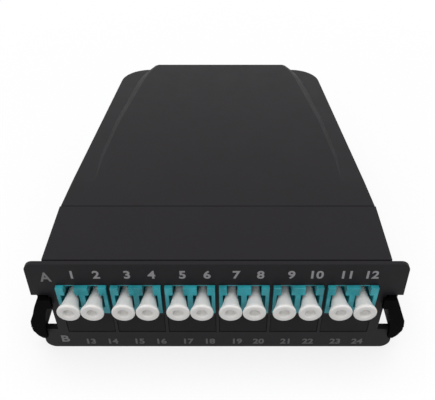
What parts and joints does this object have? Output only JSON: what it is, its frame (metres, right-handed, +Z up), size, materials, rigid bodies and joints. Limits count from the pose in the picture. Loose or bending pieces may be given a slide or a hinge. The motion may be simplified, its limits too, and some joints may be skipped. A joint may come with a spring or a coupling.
{
  "type": "fibre cassette",
  "caption": "Black moulded fibre breakout cassette: capped duplex ports along the front, side squeeze latches, one multi-fibre port at the back.",
  "frame": {"origin": "on the underside, below the middle of the front face", "axes": "+X along the port row to the right seen from the front, +Y from the front face to the back, +Z up"},
  "size_m": [0.1014, 0.1272, 0.0342],
  "materials": {
    "housing_black": "fine satin moulding grain",
    "latch_black": "satin",
    "blank_black": "satin",
    "adapter_aqua": "semi-gloss moulded",
    "cap_white": "soft satin",
    "sleeve_ceramic": "ground",
    "plug_beige": "moulded",
    "rear_port_black": "moulded",
    "rear_cap_black": "soft moulded",
    "rear_plug_aqua": "moulded",
    "fibre_jacket": "extruded",
    "fanout_grey": "moulded",
    "screw_steel": "plated"
  },
  "bodies": {
    "cassette": {"base_tray": "housing_black", "cover_screws": "screw_steel", "fanout_block": "fanout_grey", "fibre_tails": "fibre_jacket", "front_frame": "housing_black", "lc_adapter_1": "adapter_aqua", "lc_adapter_2": "adapter_aqua", "lc_adapter_3": "adapter_aqua", "lc_adapter_4": "adapter_aqua", "lc_adapter_5": "adapter_aqua", "lc_adapter_6": "adapter_aqua", "lc_plug_1": "plug_beige", "lc_plug_10": "plug_beige", "lc_plug_11": "plug_beige", "lc_plug_12": "plug_beige", "lc_plug_2": "plug_beige", "lc_plug_3": "plug_beige", "lc_plug_4": "plug_beige", "lc_plug_5": "plug_beige", "lc_plug_6": "plug_beige", "lc_plug_7": "plug_beige", "lc_plug_8": "plug_beige", "lc_plug_9": "plug_beige", "mpo_adapter": "rear_port_black", "mpo_plug": "rear_plug_aqua", "port_blank_1": "blank_black", "port_blank_2": "blank_black", "port_blank_3": "blank_black", "port_blank_4": "blank_black", "port_blank_5": "blank_black", "port_blank_6": "blank_black", "ribbon_fibre": "fibre_jacket", "split_sleeve_1": "sleeve_ceramic", "split_sleeve_10": "sleeve_ceramic", "split_sleeve_11": "sleeve_ceramic", "split_sleeve_12": "sleeve_ceramic", "split_sleeve_2": "sleeve_ceramic", "split_sleeve_3": "sleeve_ceramic", "split_sleeve_4": "sleeve_ceramic", "split_sleeve_5": "sleeve_ceramic", "split_sleeve_6": "sleeve_ceramic", "split_sleeve_7": "sleeve_ceramic", "split_sleeve_8": "sleeve_ceramic", "split_sleeve_9": "sleeve_ceramic", "top_cover": "housing_black"},
    "cap_1": {"dust_cap_1": "cap_white"},
    "cap_2": {"dust_cap_2": "cap_white"},
    "cap_3": {"dust_cap_3": "cap_white"},
    "cap_4": {"dust_cap_4": "cap_white"},
    "cap_5": {"dust_cap_5": "cap_white"},
    "cap_6": {"dust_cap_6": "cap_white"},
    "cap_7": {"dust_cap_7": "cap_white"},
    "cap_8": {"dust_cap_8": "cap_white"},
    "cap_9": {"dust_cap_9": "cap_white"},
    "cap_10": {"dust_cap_10": "cap_white"},
    "cap_11": {"dust_cap_11": "cap_white"},
    "cap_12": {"dust_cap_12": "cap_white"},
    "rear_cap": {"mpo_dust_cap": "rear_cap_black"},
    "left_latch": {"latch_left": "latch_black"},
    "right_latch": {"latch_right": "latch_black"}
  },
  "joints": [
    {"name": "cap_1_pull", "type": "slide", "parent": "cassette", "child": "cap_1", "axis": [0, -1, 0], "range_m": [0, 0.014]},
    {"name": "cap_2_pull", "type": "slide", "parent": "cassette", "child": "cap_2", "axis": [0, -1, 0], "range_m": [0, 0.014]},
    {"name": "cap_3_pull", "type": "slide", "parent": "cassette", "child": "cap_3", "axis": [0, -1, 0], "range_m": [0, 0.014]},
    {"name": "cap_4_pull", "type": "slide", "parent": "cassette", "child": "cap_4", "axis": [0, -1, 0], "range_m": [0, 0.014]},
    {"name": "cap_5_pull", "type": "slide", "parent": "cassette", "child": "cap_5", "axis": [0, -1, 0], "range_m": [0, 0.014]},
    {"name": "cap_6_pull", "type": "slide", "parent": "cassette", "child": "cap_6", "axis": [0, -1, 0], "range_m": [0, 0.014]},
    {"name": "cap_7_pull", "type": "slide", "parent": "cassette", "child": "cap_7", "axis": [0, -1, 0], "range_m": [0, 0.014]},
    {"name": "cap_8_pull", "type": "slide", "parent": "cassette", "child": "cap_8", "axis": [0, -1, 0], "range_m": [0, 0.014]},
    {"name": "cap_9_pull", "type": "slide", "parent": "cassette", "child": "cap_9", "axis": [0, -1, 0], "range_m": [0, 0.014]},
    {"name": "cap_10_pull", "type": "slide", "parent": "cassette", "child": "cap_10", "axis": [0, -1, 0], "range_m": [0, 0.014]},
    {"name": "cap_11_pull", "type": "slide", "parent": "cassette", "child": "cap_11", "axis": [0, -1, 0], "range_m": [0, 0.014]},
    {"name": "cap_12_pull", "type": "slide", "parent": "cassette", "child": "cap_12", "axis": [0, -1, 0], "range_m": [0, 0.014]},
    {"name": "rear_cap_pull", "type": "slide", "parent": "cassette", "child": "rear_cap", "axis": [0, 1, 0], "range_m": [0, 0.009]},
    {"name": "left_latch_squeeze", "type": "hinge", "parent": "cassette", "child": "left_latch", "pos_m": [-0.0461, 0.0048, 0.0204], "axis": [0, -1, 0], "range_deg": [0, 8], "stiffness_Nm_per_rad": 0.5},
    {"name": "right_latch_squeeze", "type": "hinge", "parent": "cassette", "child": "right_latch", "pos_m": [0.0461, 0.0048, 0.0204], "axis": [0, 1, 0], "range_deg": [0, 8], "stiffness_Nm_per_rad": 0.5}
  ]
}
